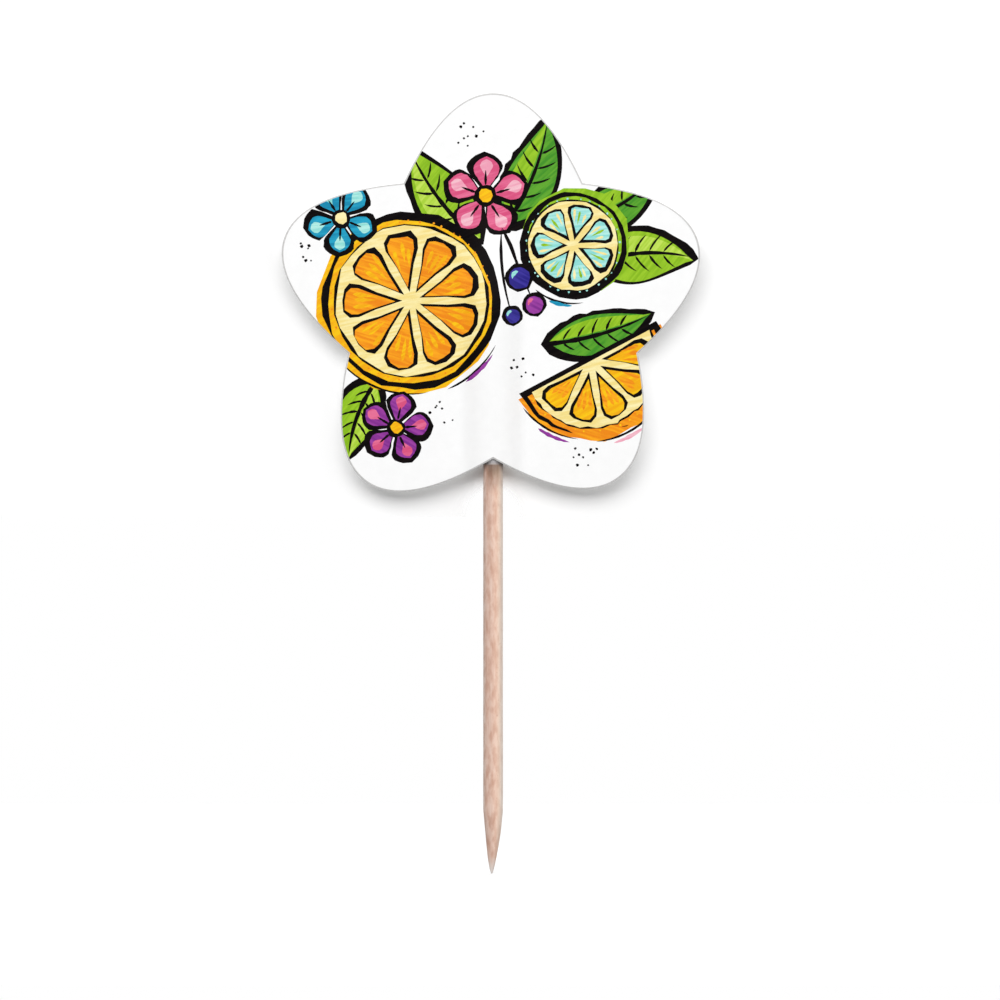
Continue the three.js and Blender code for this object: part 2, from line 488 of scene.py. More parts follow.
def citrus_segments(centre, radius, seed, chance, drift, segments, inks, start, sweep):
    """The segments, each with a black edge, its flesh and brush lines on the flesh. The middle line has the
    rind's ink. A gap parts each two segments, and the flesh keeps the same gap from its own edge."""
    rind, flesh, glow = inks
    far = radius * SEGMENT_END
    near = radius * (SEGMENT_START if sweep == math.tau else CUT_SEGMENT_START)
    each = sweep / segments
    gap = SEGMENT_GAP * each
    for i in range(segments):
        at = start + each * i
        lay("black", wedge(centre, near, far, at + gap / 2, each - gap, seed + 10 + i))
        inner_ends = (near + FLESH_START, far - FLESH_END)
        inner = wedge(centre, *inner_ends, at + gap * 1.5, each - gap * 3, seed + 30 + i)
        lay(flesh, [point + drift * FLESH_DRIFT for point in inner])
        for j in range(FLESH_LINES):
            slip = chance.uniform(-FLESH_LINE_SLIP, FLESH_LINE_SLIP)
            angle = at + each * (FLESH_LINE_FIRST + FLESH_LINE_STEP * j) + slip
            low = far * chance.uniform(*FLESH_LINE_LOW)
            high = far * chance.uniform(*FLESH_LINE_HIGH)
            path = line(centre + towards(angle, low), centre + towards(angle, high))
            ink = rind if j == FLESH_LINES // 2 else glow
            stroke(ink, path, radius * FLESH_STROKE, seed + 50 + FLESH_LINES * i + j, heavy=0.7)


def leaf(base, tip, width, bend, seed, fill="lime", glow="spring"):
    """A broad leaf: a bold outline, a two-tone blade, a midrib and a few side veins."""
    base, tip = Vector(base), Vector(tip)
    chance = random.Random(seed)
    spine = line(base, tip, bend, LEAF_STEPS)
    reach = [width / 2 * swell(i / LEAF_STEPS, LEAF_LEAN, LEAF_FULLNESS) for i in range(LEAF_STEPS + 1)]
    cut = [value * chance.uniform(*LEAF_WAVER) for value in reach]
    lay("black", ribbon(spine, [value + LINE / 2 for value in cut], [value + LINE / 2 for value in reach]))

    inner = line(spine[0].lerp(tip, BLADE_START), spine[-1].lerp(base, BLADE_END), bend, LEAF_STEPS)
    drift = towards(chance.uniform(0, math.tau), BLADE_DRIFT)
    shifted = [point + drift for point in inner]
    blade = [max(value - LINE / 2, 0) for value in reach]
    lay(fill, ribbon(shifted, blade, blade))
    lay(glow, ribbon(shifted, [value * GLOW_EDGE for value in blade], [value * -GLOW_GAP for value in blade]))
    stroke("black", line(base, spine[-2], bend, LEAF_STEPS), LINE, seed + 1, heavy=MIDRIB_HEAVY)
    leaf_veins(spine, reach, width, seed, chance)


def leaf_veins(spine, reach, width, seed, chance):
    """Short veins in pairs along the spine. They lean towards the leaf's tip."""
    for i in range(VEIN_MARGIN, LEAF_STEPS - VEIN_MARGIN, VEIN_EVERY):
        along = (spine[i + 1] - spine[i]).normalized()
        across = Vector((-along.y, along.x))
        for side in (1, -1):
            start = spine[i] + across * side * LINE * VEIN_START
            out = across * side * reach[i] * chance.uniform(*VEIN_REACH)
            end = spine[i] + along * width * VEIN_LEAN + out
            path = line(start, end, VEIN_BEND * side, VEIN_STEPS)
            stroke("black", path, VEIN_LINE, seed + 5 * i + side, heavy=0.3)


def petal(centre, angle, near, far, width, seed, ink, grow=0.0):
    """One petal, from near to far from the centre. It may grow past its size by a margin."""
    chance = random.Random(seed)
    path = line(centre + towards(angle, near), centre + towards(angle, far + grow), 0, PETAL_STEPS)
    reach = []
    for i in range(PETAL_STEPS + 1):
        half = (width / 2 + grow) * swell(i / PETAL_STEPS, PETAL_LEAN, PETAL_FULLNESS)
        reach.append(half * chance.uniform(*PETAL_WAVER))
    lay(ink, ribbon(path, reach, reach))


def blossom(centre, radius, seed, fill, glow, heart, turn):
    """An open flower seen from the front, with a dotted heart."""
    centre = Vector(centre)
    chance = random.Random(seed)
    width = radius * PETAL_WIDTHS / PETALS
    for i in range(PETALS):
        angle = turn + math.tau * i / PETALS + chance.uniform(-PETAL_SLIP, PETAL_SLIP)
        petal(centre, angle, 0.0, radius, width, seed + i, "black", PETAL_OUTLINE)
    for i in range(PETALS):
        angle = turn + math.tau * i / PETALS + chance.uniform(-FILL_SLIP, FILL_SLIP)
        place = centre + towards(chance.uniform(0, math.tau), PETAL_DRIFT)
        low, high = radius * FILL_START, radius - PETAL_MARGIN
        petal(place, angle, low, high, width - LINE, seed + 20 + i, fill)
        low, high = (radius * share for share in PETAL_GLOW)
        petal(place, angle, low, high, width * PETAL_GLOW_WIDTH, seed + 40 + i, glow)
        low, high = (radius * share for share in PETAL_VEIN)
        path = line(centre + towards(angle, low), centre + towards(angle, high))
        stroke("black", path, PETAL_LINE, seed + 60 + i, heavy=0.3)
    lay("black", blob(centre, radius * HEART_EDGE, seed + 80, **HEART_EDGE_CUT))
    lay(heart, blob(centre + HEART_DRIFT, radius * HEART, seed + 81, **HEART_CUT))


def berry(centre, radius, seed, fill, glow):
    """A round berry with a bold edge and a brush stroke of light."""
    lay("black", blob(centre, radius, seed, **BERRY_EDGE_CUT))
    lay(fill, blob(centre + BERRY_DRIFT, radius - BERRY_LINE, seed + 1, **BERRY_CUT))
    shine = arc(centre, radius * SHINE_REACH, *SHINE_SPAN, SHINE_STEPS)
    stroke(glow, shine, radius * SHINE_WIDTH, seed + 2)


def draw_leaves():
    leaf(base=(-1.0, 6.5), tip=(-9.0, 17.0), width=5.8, bend=0.12, seed=21)
    leaf(base=(0.8, 8.0), tip=(5.8, 20.2), width=5.6, bend=-0.14, seed=22, fill="green", glow="lime")
    leaf(base=(9.8, 4.2), tip=(21.6, 5.0), width=5.8, bend=0.16, seed=23)
    leaf(base=(7.5, 8.5), tip=(17.6, 14.2), width=4.8, bend=-0.16, seed=24, fill="green", glow="lime")
    leaf(base=(-12.0, -7.5), tip=(-15.2, -16.2), width=4.8, bend=-0.15, seed=25)
    leaf(base=(5.0, -4.0), tip=(17.0, -0.6), width=4.6, bend=-0.1, seed=26, fill="green", glow="lime")


def draw_fruit():
    wheel = Vector((-8.6, 0.6))
    citrus(wheel, 9.3, seed=300, segments=9, inks=("gold", "orange", "gold"))
    echoes(wheel, 9.8, (("black", 3.9, 4.9), ("black", 5.1, 5.8), ("purple", 5.3, 5.7)), seed=420)

    cut = Vector((10.0, -5.3))
    inks = ("orange", "gold", "orange")
    citrus(cut, 8.2, seed=500, segments=5, inks=inks, start=math.radians(208), sweep=math.pi)
    spans = (("black", 3.8, 4.6), ("black", 4.8, 5.9), ("purple", 4.1, 4.5), ("rose", 5.0, 5.4))
    echoes(cut, 8.7, spans, seed=620)

    lime = Vector((8.4, 6.4))
    citrus(lime, 5.6, seed=700, segments=7, inks=("lime", "aqua", "cream"))
    echoes(lime, 6.1, (("black", 4.0, 4.9), ("turquoise", 4.3, 4.7)), seed=760)


def draw_blossoms():
    blossom((-0.8, 11.6), 4.4, seed=820, fill="pink", glow="rose", heart="gold", turn=0.3)
    blossom((-16.0, 9.2), 3.8, seed=920, fill="turquoise", glow="aqua", heart="cream", turn=0.9)
    blossom((-10.2, -12.8), 3.7, seed=1020, fill="purple", glow="pink", heart="gold", turn=0.1)


def draw_berries():
    """Three berries on stems that spread out from one root."""
    berries = (
        (Vector((2.7, 3.0)), 1.5, "indigo", "aqua"),
        (Vector((4.3, 0.2)), 1.3, "purple", "pink"),
        (Vector((2.0, -1.0)), 1.1, "indigo", "aqua"),
    )
    for i, (place, *_) in enumerate(berries):
        path = line(STEM_ROOT, place, STEM_BEND - STEM_SPREAD * i)
        stroke("black", path, STEM_LINE, seed=1095 + i)
    for i, (place, radius, fill, glow) in enumerate(berries):
        berry(place, radius, seed=1101 + 3 * i, fill=fill, glow=glow)


def draw_print():
    draw_leaves()
    draw_fruit()
    draw_blossoms()
    draw_berries()
    dots((-2.4, 18.0), count=9, spread=1.5, seed=1201)
    dots((-19.8, 5.6), count=7, spread=1.1, seed=1202)
    dots((3.2, -6.4), count=7, spread=1.3, seed=1203)
    dots((-5.4, -11.2), count=8, spread=1.4, seed=1204)
    dots((9.6, -15.6), count=9, spread=1.5, seed=1205)


# Materials. Their blotches and reliefs are in millimetres.

# Printed ink. Its tones are the places of its dark and its light colour in the noise of its brush streaks.
INK_ROUGHNESS = 0.36
INK_ROUGHNESS_SPAN = (0.3, 0.42)
INK_GLOSS = 0.14
BLACK_GLOSS = 0.04
BRISTLE_WIDTH = 0.35
BRISTLE_LENGTH = 4.0
INK_TONES = (0.42, 0.6)
INK_GRAIN = 0.18
INK_GRAIN_SHADES = (0.95, 1.0)

# Card
CARD_FIBRES = 0.9
CUT_FIBRES = 0.25
PAPER_GRAIN = 0.35
PAPER_RELIEF = 0.006
CUT_RELIEF = 0.02

# Wood
WOOD_ROUGHNESS = 0.62
WOOD_GLOSS = 0.15
GRAIN_WIDTH = 0.22
GRAIN_LENGTH = 3.2
GRAIN_RELIEF = 0.012
GRAIN_ROUGHNESS_SPAN = (0.7, 0.55)
MOTTLE_WIDTH = 0.5
MOTTLE_LENGTH = 1.3
MOTTLE_RELIEF = 0.01
# Across the pick's right part, from its first place to its second, the mottles fade to this share, under the
# painted light on that side.
PLAIN_SIDE = (0.55, 0.95)
PLAIN_SHARES = (1.0, 0.3)
FLECK_WIDTH = 0.13
FLECK_LENGTH = 0.3
FLECK_SPAN = (0.6, 0.74)
FLECK_SHARES = (0.0, 0.4)
# The cards' painted shadow on the pick reaches this far below the bottom notch, and the lower point stays
# pale this far up.
SHADE_REACH = 4.0
PALE_TIP = 1.8
# A pale band of painted light around the pick, under the cards' notch where their shade falls, starts at this
# share of the way up to the notch.
NOTCH_LIGHT_EDGE = (0.844, 0.852)

# Glue
GLUE_CLOUD = 1.5
GLUE_RIPPLE = 0.6
GLUE_RELIEF = 0.03

# Most of a noise's values lie between these.
NOISE_SPAN = (0.3, 0.7)
# The places of the colour sockets among a mix node's inputs and outputs
MIX_SHARE, MIX_A, MIX_B = 0, 6, 7
MIX_RESULT = 2


def colour(code):
    """A linear colour for a hex code, whose channels are on the usual curve of screens."""
    channels = [int(code[i:i + 2], 16) / 255 for i in (0, 2, 4)]
    return [c / 12.92 if c <= 0.04045 else ((c + 0.055) / 1.055) ** 2.4 for c in channels] + [1]


class Nodes:
    """A node tree, with short ways to add to it."""

    def __init__(self, tree):
        self.tree = tree

    def feed(self, socket, value):
        """Joins a node's output to a socket, or sets the socket to a plain value."""
        if isinstance(value, bpy.types.NodeSocket):
            self.tree.links.new(value, socket)
        else:
            socket.default_value = value

    def node(self, kind, **inputs):
        """A new node with values for some of its inputs by name."""
        made = self.tree.nodes.new("ShaderNode" + kind)
        for key, value in inputs.items():
            self.feed(made.inputs[key.replace("_", " ")], value)
        return made

    def join(self, kind, *values, **settings):
        """A new node with some settings, and values for its first inputs in their order."""
        made = self.tree.nodes.new("ShaderNode" + kind)
        for key, value in settings.items():
            setattr(made, key, value)
        for socket, value in zip(made.inputs, values):
            self.feed(socket, value)
        return made


class Finish(Nodes):
    """A material with one Principled shader, and the node work that the finishes share."""

    def __init__(self, name, roughness, gloss=0.5):
        self.material = bpy.data.materials.new(name)
        self.material.use_nodes = True
        super().__init__(self.material.node_tree)
        self.shader = self.tree.nodes["Principled BSDF"]
        self.shader.inputs["Roughness"].default_value = roughness
        self.shader.inputs["Specular IOR Level"].default_value = gloss
        self.place = self.node("TexCoord").outputs["Object"]
        self.bumps = None

    def wire(self, socket, name):
        self.feed(self.shader.inputs[name], socket)

    def noise(self, width, height=None, detail=3.0, turn=0.0, shift=0.0):
        """Noise with blotches of this width and height in millimetres, turned in the front view."""
        size = (width, width, height or width)
        scale = [1 / (MM * length) for length in size]
        turned = self.node("Mapping", Vector=self.place, Rotation=(0, turn, 0))
        place = self.node("Mapping", Vector=turned.outputs[0], Scale=scale, Location=(shift, shift, shift))
        return self.node("TexNoise", Vector=place.outputs[0], Scale=1.0, Detail=detail).outputs["Fac"]

    def ramp(self, value, stops):
        """A colour for a value, from stops of place and hex code."""
        ramp = self.node("ValToRGB", Fac=value)
        elements = ramp.color_ramp.elements
        while len(elements) < len(stops):
            elements.new(0.5)
        for element, (place, code) in zip(elements, stops):
            element.position = place
            element.color = colour(code)
        return ramp.outputs["Color"]

    def level(self, value, low, high, start=0.0, end=1.0):
        """The value's place between low and high, as a number from start to end."""
        span = {"From_Min": low, "From_Max": high, "To_Min": start, "To_Max": end}
        return self.node("MapRange", Value=value, **span).outputs["Result"]

    def blend(self, share, a, b, kind="MIX"):
        mixer = self.join("Mix", data_type="RGBA", blend_type=kind)
        for index, value in ((MIX_SHARE, share), (MIX_A, a), (MIX_B, b)):
            self.feed(mixer.inputs[index], value)
        return mixer.outputs[MIX_RESULT]

    def tinted(self, base, value, stops):
        """A colour multiplied by a ramp's."""
        return self.blend(1.0, base, self.ramp(value, stops), "MULTIPLY")

    def bump(self, height, depth):
        """Adds relief of this depth in millimetres."""
        made = self.node("Bump", Height=height, Strength=1.0, Distance=depth * MM)
        if self.bumps:
            self.feed(made.inputs["Normal"], self.bumps)
        self.bumps = made.outputs["Normal"]
        self.wire(self.bumps, "Normal")


def paper_relief(finish):
    finish.bump(finish.noise(PAPER_GRAIN, detail=4), PAPER_RELIEF)


def ink_finish(name, dark, light, turn, gloss=INK_GLOSS):
    """Printed ink with two tones in brush streaks."""
    finish = Finish(name, INK_ROUGHNESS, gloss)
    streaks = finish.noise(BRISTLE_LENGTH, BRISTLE_WIDTH, detail=4, turn=turn)
    tone = finish.ramp(streaks, tuple(zip(INK_TONES, (dark, light))))
    grain = finish.level(finish.noise(INK_GRAIN, detail=2), *NOISE_SPAN, *INK_GRAIN_SHADES)
    finish.wire(finish.blend(1.0, tone, grain, "MULTIPLY"), "Base Color")
    finish.wire(finish.level(streaks, *NOISE_SPAN, *INK_ROUGHNESS_SPAN), "Roughness")
    paper_relief(finish)
    return finish.material


def card_finish(name, dark, light, roughness):
    """Bare card: near white, with a faint cloud of fibres."""
    finish = Finish(name, roughness, INK_GLOSS)
    cloud = finish.noise(CARD_FIBRES, detail=6)
    finish.wire(finish.ramp(cloud, tuple(zip(NOISE_SPAN, (dark, light)))), "Base Color")
    paper_relief(finish)
    return finish.material


def cut_finish(name, dark, light):
    """The die-cut edge of the card, with loose fibres. On the rounded edge band its darker grey is painted
    edge shade.
    """
    finish = Finish(name, roughness=0.8)
    fibres = finish.noise(CUT_FIBRES, detail=5)
    finish.wire(finish.ramp(fibres, tuple(zip(NOISE_SPAN, (dark, light)))), "Base Color")
    finish.bump(fibres, CUT_RELIEF)
    return finish.material


def wood_with_painted_side_light(finish, side, grain, mottles):
    """The wood's tones with painted shading across the pick: darker and pinker on the left, and painted light
    on the right, where the mottles and grain fade out. The mottles, grain and flecks are the wood's own.
    """
    # Painted shading across the pick: darker towards the left, lighter towards the right.
    base = finish.ramp(side, (
        (0.05, "ecd8cd"), (0.2, "e6c7b8"), (0.35, "e4c7b8"), (0.5, "edcfbf"),
        (0.65, "fadac7"), (0.8, "ffe6d3"), (0.95, "fff0e4"),
    ))
    mottled = finish.tinted(base, mottles, ((0.36, "e9dad3"), (0.5, "f7f0ec"), (0.6, "ffffff")))
    streaked = finish.tinted(mottled, grain, ((0.32, "f4ede9"), (0.6, "ffffff")))
    # The painted light on the right washes out the mottles and grain there.
    worn = finish.blend(finish.level(side, *PLAIN_SIDE, *PLAIN_SHARES), base, streaked)
    flecks = finish.noise(FLECK_WIDTH, FLECK_LENGTH, detail=3, shift=7.0)
    return finish.blend(finish.level(flecks, *FLECK_SPAN, *FLECK_SHARES), worn, colour("c99a88"))


def painted_card_shadow(finish, side_lit_wood, side, near_notch):
    """Painted shadow of the cards on the pick: the wood darkens up to the notch. The pick's two flanks stay
    lighter, where the cards' real shadow already falls.
    """
    dark = finish.ramp(near_notch, (
        (0.1, "ffffff"), (0.23, "f0f0f0"), (0.35, "dad7d5"), (0.44, "d6d3d1"), (0.55, "c4c2bd"),
        (0.7, "a8a6a0"), (0.82, "a2a4a4"),
    ))
    flank = finish.ramp(side, ((0.08, "ffffff"), (0.3, "000000"), (0.7, "000000"), (0.9, "b0b0b0")))
    return finish.blend(1.0, side_lit_wood, finish.blend(flank, dark, colour("ffffff")), "MULTIPLY")


def painted_notch_light(finish, card_shaded, near_notch):
    """Painted light: a pale band around the pick where it leaves the cards, lighter towards the notch, which
    paints out the shade under the cards' edge.
    """
    pale_band = finish.ramp(near_notch, ((0.86, "bab1ad"), (0.91, "c8c4c6"), (0.94, "f5f2f4")))
    return finish.blend(finish.level(near_notch, *NOTCH_LIGHT_EDGE), card_shaded, pale_band)


def wood_finish():
    """Pale turned wood with painted shading across it, darker on the left and lighter on the right, a painted
    shadow of the cards below the notch with a pale band of painted light just under the notch, and paler at
    its lower point.
    """
    finish = Finish("pick_wood", WOOD_ROUGHNESS, WOOD_GLOSS)
    place = finish.node("SeparateXYZ", Vector=finish.place).outputs
    # The place across the pick, from left to right, which also sets its painted shading.
    side = finish.level(place["X"], -PICK_RADIUS * MM, PICK_RADIUS * MM)
    # How near the notch, from the reach of the painted shadow up to the notch itself.
    near_notch = finish.level(place["Z"], (BOTTOM_NOTCH - SHADE_REACH) * MM, BOTTOM_NOTCH * MM)
    mottles = finish.noise(MOTTLE_WIDTH, MOTTLE_LENGTH, detail=3, shift=3.0)
    grain = finish.noise(GRAIN_WIDTH, GRAIN_LENGTH, detail=4)
    side_lit_wood = wood_with_painted_side_light(finish, side, grain, mottles)
    # Painted shadow of the cards below the notch, then a pale band of painted light just under it.
    notch_painted = painted_notch_light(finish, painted_card_shadow(finish, side_lit_wood, side, near_notch), near_notch)
    above_tip = finish.level(place["Z"], 0.0, PALE_TIP * MM)
    finish.wire(finish.blend(above_tip, colour("f9f1ec"), notch_painted), "Base Color")
    finish.wire(finish.level(grain, *NOISE_SPAN, *GRAIN_ROUGHNESS_SPAN), "Roughness")
    finish.bump(grain, GRAIN_RELIEF)
    finish.bump(mottles, MOTTLE_RELIEF)
    return finish.material


def glue_finish():
    """Dried white glue, a little yellow."""
    finish = Finish("white_glue", roughness=0.4)
    cloud = finish.noise(GLUE_CLOUD, detail=4)
    finish.wire(finish.ramp(cloud, tuple(zip(NOISE_SPAN, ("ddd3bd", "f1ead9")))), "Base Color")
    finish.bump(finish.noise(GLUE_RIPPLE), GLUE_RELIEF)
    return finish.material


def make_finishes():
    """The cards' finishes by name. Each ink has a dark and a light tone, and its brush has a direction."""
    inks = {
        "gold": ("f5ad0c", "fcc80a", 0.5),
        "orange": ("f08a12", "ffab18", -0.3),
        "cream": ("f7e08c", "fff2b4", 0.2),
        "lime": ("86b81a", "9ccb28", 0.9),
        "spring": ("a9d23a", "c3e25a", 0.9),
        "green": ("3f8f22", "5ea62a", 0.7),
        "pink": ("d9527f", "e87098", 0.3),
        "rose": ("f0a0b8", "f7c3cf", 0.3),
        "purple": ("7f2a8c", "9d3fa2", -0.5),
        "indigo": ("231a80", "39309a", -0.5),
        "turquoise": ("0e86ad", "21a5c8", 0.1),
        "aqua": ("8edcd6", "b6efe6", 0.1),
    }
    made = {name: ink_finish("ink_" + name, *look) for name, look in inks.items()}
    made["black"] = ink_finish("ink_black", "020001", "0c0606", 0.4, gloss=BLACK_GLOSS)
    made["white"] = card_finish("coated_card", "f9f9f9", "fcfcfc", roughness=0.42)
    made["plain"] = card_finish("plain_card", "f3f3f1", "f9f9f7", roughness=0.6)
    # The rounded edge band's grey is painted edge shade, darker than the card's own core on the rim.
    made["cut"] = cut_finish("cut_edge_painted_shade", "c0bfbe", "d2d1d0")
    made["core"] = cut_finish("card_core", "dddcd9", "f2f1ee")
    return made


# Meshes

# The finishes of a card's zones that aren't printed
ZONE_FINISH = {"inner": "white", "rim": "core"}

# The cards' bake map: the outer face fills a square of this many millimetres around a middle, and the inner
# face and the rim share a low band below it.
MAP_SPAN = 46.5
OUTER_MIDDLE = (0.5, 0.54)
INNER_MIDDLE = (0.25, 0.04)
RIM_MIDDLE = 0.76
BAND_FOOT = 0.01
BAND_WIDTH = 0.44
BAND_HEIGHT = 0.05
# The pick's own map has this width and height, above a foot.
PICK_MAP_WIDTH = 0.96
PICK_MAP_HEIGHT = 0.98
PICK_MAP_FOOT = 0.01


def triangulated(loops, inks):
    """The loops' front view as flat points, and as triangles with their inks. The first loop is the card's
    cut, and the second holds its face, where later loops cover earlier ones."""
    points, edges = ridge_lines()
    faces = []
    for loop in loops:
        faces.append(list(range(len(points), len(points) + len(loop))))
        points = points + loop
    flat, _, triangles, _, _, covers = delaunay_2d_cdt(points, edges, faces, 1, WELD)
    kept = []
    for triangle, cover in zip(triangles, covers):
        if 0 in cover:
            kept.append((triangle, inks[max(cover)] if 1 in cover else inks[0]))
    return flat, kept


def rim_edges(kept):
    """The edges that only one triangle has, in its direction."""
    edges = {}
    for triangle, ink in kept:
        for edge in zip(triangle, triangle[1:] + triangle[:1]):
            edges[edge] = True
    return [edge for edge in edges if edge[::-1] not in edges]


def card_shell(flat, kept, side):
    """A card's vertices and polygons, and each polygon's zone: its ink, the inner face or the rim."""
    rim = rim_edges(kept)
    on_rim = {a for a, b in rim}
    order = sorted({a for triangle, ink in kept for a in triangle})
    index = {old: new for new, old in enumerate(order)}
    count = len(order)

    def place(old, level):
        x, z = flat[old]
        return Vector((x, side * (level + ridge_rise(x, z)), z)) * MM

    outer_level = INNER_FACE + CARD_THICKNESS
    vertices = [place(old, outer_level - (EDGE_DROP if old in on_rim else 0)) for old in order]
    vertices += [place(old, INNER_FACE) for old in order]
    polygons, zones = [], []
    for triangle, ink in kept:
        outer = [index[a] for a in triangle]
        inner = [index[a] + count for a in reversed(triangle)]
        polygons += [outer, inner]
        zones += [ink, "inner"]
    for a, b in rim:
        polygons.append([index[b], index[a], index[a] + count, index[b] + count])
        zones.append("rim")
    if side > 0:
        polygons = [polygon[::-1] for polygon in polygons]
    return vertices, polygons, zones


def card(name, side, shapes, face_ink):
    """One card: its outer face in the inks of its print, a rounded edge, the cut rim and the inner face."""
    loops = [flower_outline(CUT_MARGIN), flower_outline(EDGE_WIDTH)] + [points for ink, points in shapes]
    # The rounded edge band between the two outlines wears the cut finish's painted edge shade.
    inks = ["cut", face_ink] + [ink for ink, points in shapes]
    flat, kept = triangulated(loops, inks)
    vertices, polygons, zones = card_shell(flat, kept, side)
    mesh = bpy.data.meshes.new(name)
    mesh.from_pydata(vertices, [], polygons)
    worn = [ZONE_FINISH.get(zone, zone) for zone in zones]
    used = sorted(set(worn))
    for finish in used:
        mesh.materials.append(finishes[finish])
    for polygon, finish in zip(mesh.polygons, worn):
        polygon.material_index = used.index(finish)
        polygon.use_smooth = True
    map_card(mesh, zones)
    mesh.set_sharp_from_angle(angle=math.radians(SHARP_ANGLE))
    return mesh


def nearest_turn(angle, middle):
    """The angle with as many whole turns added as bring it nearest to a middle one."""
    return angle + math.tau * round((middle - angle) / math.tau)


def map_card(mesh, zones):
    """Lays out the card's bake map. The rim is unrolled around the flower's centre."""
    height = (card_low.z + card_high.z) / 2 / MM
    layer = mesh.uv_layers.new(name="OFBake")
    for polygon, zone in zip(mesh.polygons, zones):
        centre = polygon.center / MM
        middle = math.atan2(centre.z - FLOWER_HEIGHT, centre.x)
        for loop in polygon.loop_indices:
            x, y, z = mesh.vertices[mesh.loops[loop].vertex_index].co / MM
            across, up = x / MAP_SPAN, (z - height) / MAP_SPAN
            if zone == "rim":
                turn = nearest_turn(math.atan2(z - FLOWER_HEIGHT, x), middle) / math.tau
                deep = (abs(y) - INNER_FACE) / DEPTH
                place = (RIM_MIDDLE + BAND_WIDTH * turn, BAND_FOOT + BAND_HEIGHT * deep)
            elif zone == "inner":
                place = (INNER_MIDDLE[0] + BAND_WIDTH * across, INNER_MIDDLE[1] + BAND_HEIGHT * up)
            else:
                place = (OUTER_MIDDLE[0] + across, OUTER_MIDDLE[1] + up)
            layer.uv[loop].vector = place


def pick_heights():
    """Heights for the pick's rings, which lie closer together towards its two ends."""
    low = [POINT_LENGTH * (i / POINT_STEPS) ** 2 for i in range(1, POINT_STEPS)]
    shaft = []
    for i in range(SHAFT_STEPS + 1):
        shaft.append(mix(POINT_LENGTH, PICK_LENGTH - POINT_LENGTH, i / SHAFT_STEPS))
    return low + shaft + [PICK_LENGTH - z for z in reversed(low)]


def pick_ring(z):
    """The pick's points at a height. Its uneven skin is never outside its full radius."""
    full = pick_radius_at(min(z, PICK_LENGTH - z))
    aside = Vector((-POINT_ASIDE * (1 - smoothstep(z, 0, ASIDE_SHARE * POINT_LENGTH)), 0, z))
    points = []
    for i in range(PICK_SIDES):
        angle = math.tau * i / PICK_SIDES
        out = Vector((math.cos(angle), math.sin(angle), 0))
        rough = noise.noise(Vector((out.x * SKIN_AROUND, out.y * SKIN_AROUND, z * SKIN_ALONG)))
        radius = full * (1 - SKIN_DEPTH * (1 + rough))
        points.append((out * radius + aside) * MM)
    return points


def pick_polygons(rows):
    """The polygons between the rings, and a fan from each end ring to its pole. The poles come last."""
    def ring_edges(row):
        for i in range(PICK_SIDES):
            yield row * PICK_SIDES + i, row * PICK_SIDES + (i + 1) % PICK_SIDES

    polygons = []
    for row in range(rows - 1):
        polygons += [(a, b, b + PICK_SIDES, a + PICK_SIDES) for a, b in ring_edges(row)]
    low_pole = rows * PICK_SIDES
    polygons += [(b, a, low_pole) for a, b in ring_edges(0)]
    polygons += [(a, b, low_pole + 1) for a, b in ring_edges(rows - 1)]
    return polygons


def pick():
    """The wooden pick: turned round, with a slightly uneven skin and a point at each end."""
    heights = pick_heights()
    vertices = [point for z in heights for point in pick_ring(z)]
    vertices += [Vector((-POINT_ASIDE, 0, 0)) * MM, Vector((0, 0, PICK_LENGTH)) * MM]
    mesh = bpy.data.meshes.new("pick")
    mesh.from_pydata(vertices, [], pick_polygons(len(heights)))
    for polygon in mesh.polygons:
        polygon.use_smooth = True
    mesh.materials.append(wood_finish())
    map_pick(mesh)
    return mesh


def map_pick(mesh):
    """Unrolls the pick over its bake map, so that the map is finest across the grain."""
    layer = mesh.uv_layers.new(name="OFBake")
    for polygon in mesh.polygons:
        middle = math.atan2(polygon.center.y, polygon.center.x)
        for loop in polygon.loop_indices:
            x, y, z = mesh.vertices[mesh.loops[loop].vertex_index].co / MM
            own = math.atan2(y, x) if x or y else middle
            turn = nearest_turn(own, middle) / math.tau
            up = PICK_MAP_FOOT + PICK_MAP_HEIGHT * z / PICK_LENGTH
            layer.uv[loop].vector = (0.5 + PICK_MAP_WIDTH * turn, up)


def add_piece(name, mesh, node):
    piece = bpy.data.objects.new(name, mesh)
    bpy.context.scene.collection.objects.link(piece)
    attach(piece, "root")
    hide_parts(node)


# The stage: a white wall close behind the cards and a white floor at the pick's lower point. The wall ends
# below the cards' shadow and fades out in an arch around the bare pick, which stands free in front of white.

WALL_GAP = 0.15
WALL_FOOT = 37.5
WALL_WIDTH = 400.0
FLOOR_WIDTH = 200.0
# Half the arch's width and its height, and the shares of these between which the wall fades in
ARCH = (3.5, 3.7)
ARCH_FADE = (0.7, 1.3)
# What the wall and the floor glow by themselves
WALL_LIFT = 0.02
FLOOR_LIFT = 0.05


def stage_finish(name, lift):
    """White for the camera on its front, with the object's shadow, and not there for any other ray."""
    material = bpy.data.materials.new(name)
    material.use_nodes = True
    material.node_tree.nodes.clear()
    nodes = Nodes(material.node_tree)
    lit = nodes.node("BsdfDiffuse", Color=WHITE)
    glow = nodes.node("Emission", Strength=lift)
    white = nodes.join("AddShader", lit.outputs[0], glow.outputs[0])
    clear = nodes.join("BsdfTransparent")
    shown = nodes.join("MixShader", stage_seen(nodes), clear.outputs[0], white.outputs[0])
    nodes.node("OutputMaterial", Surface=shown.outputs[0])
    return material


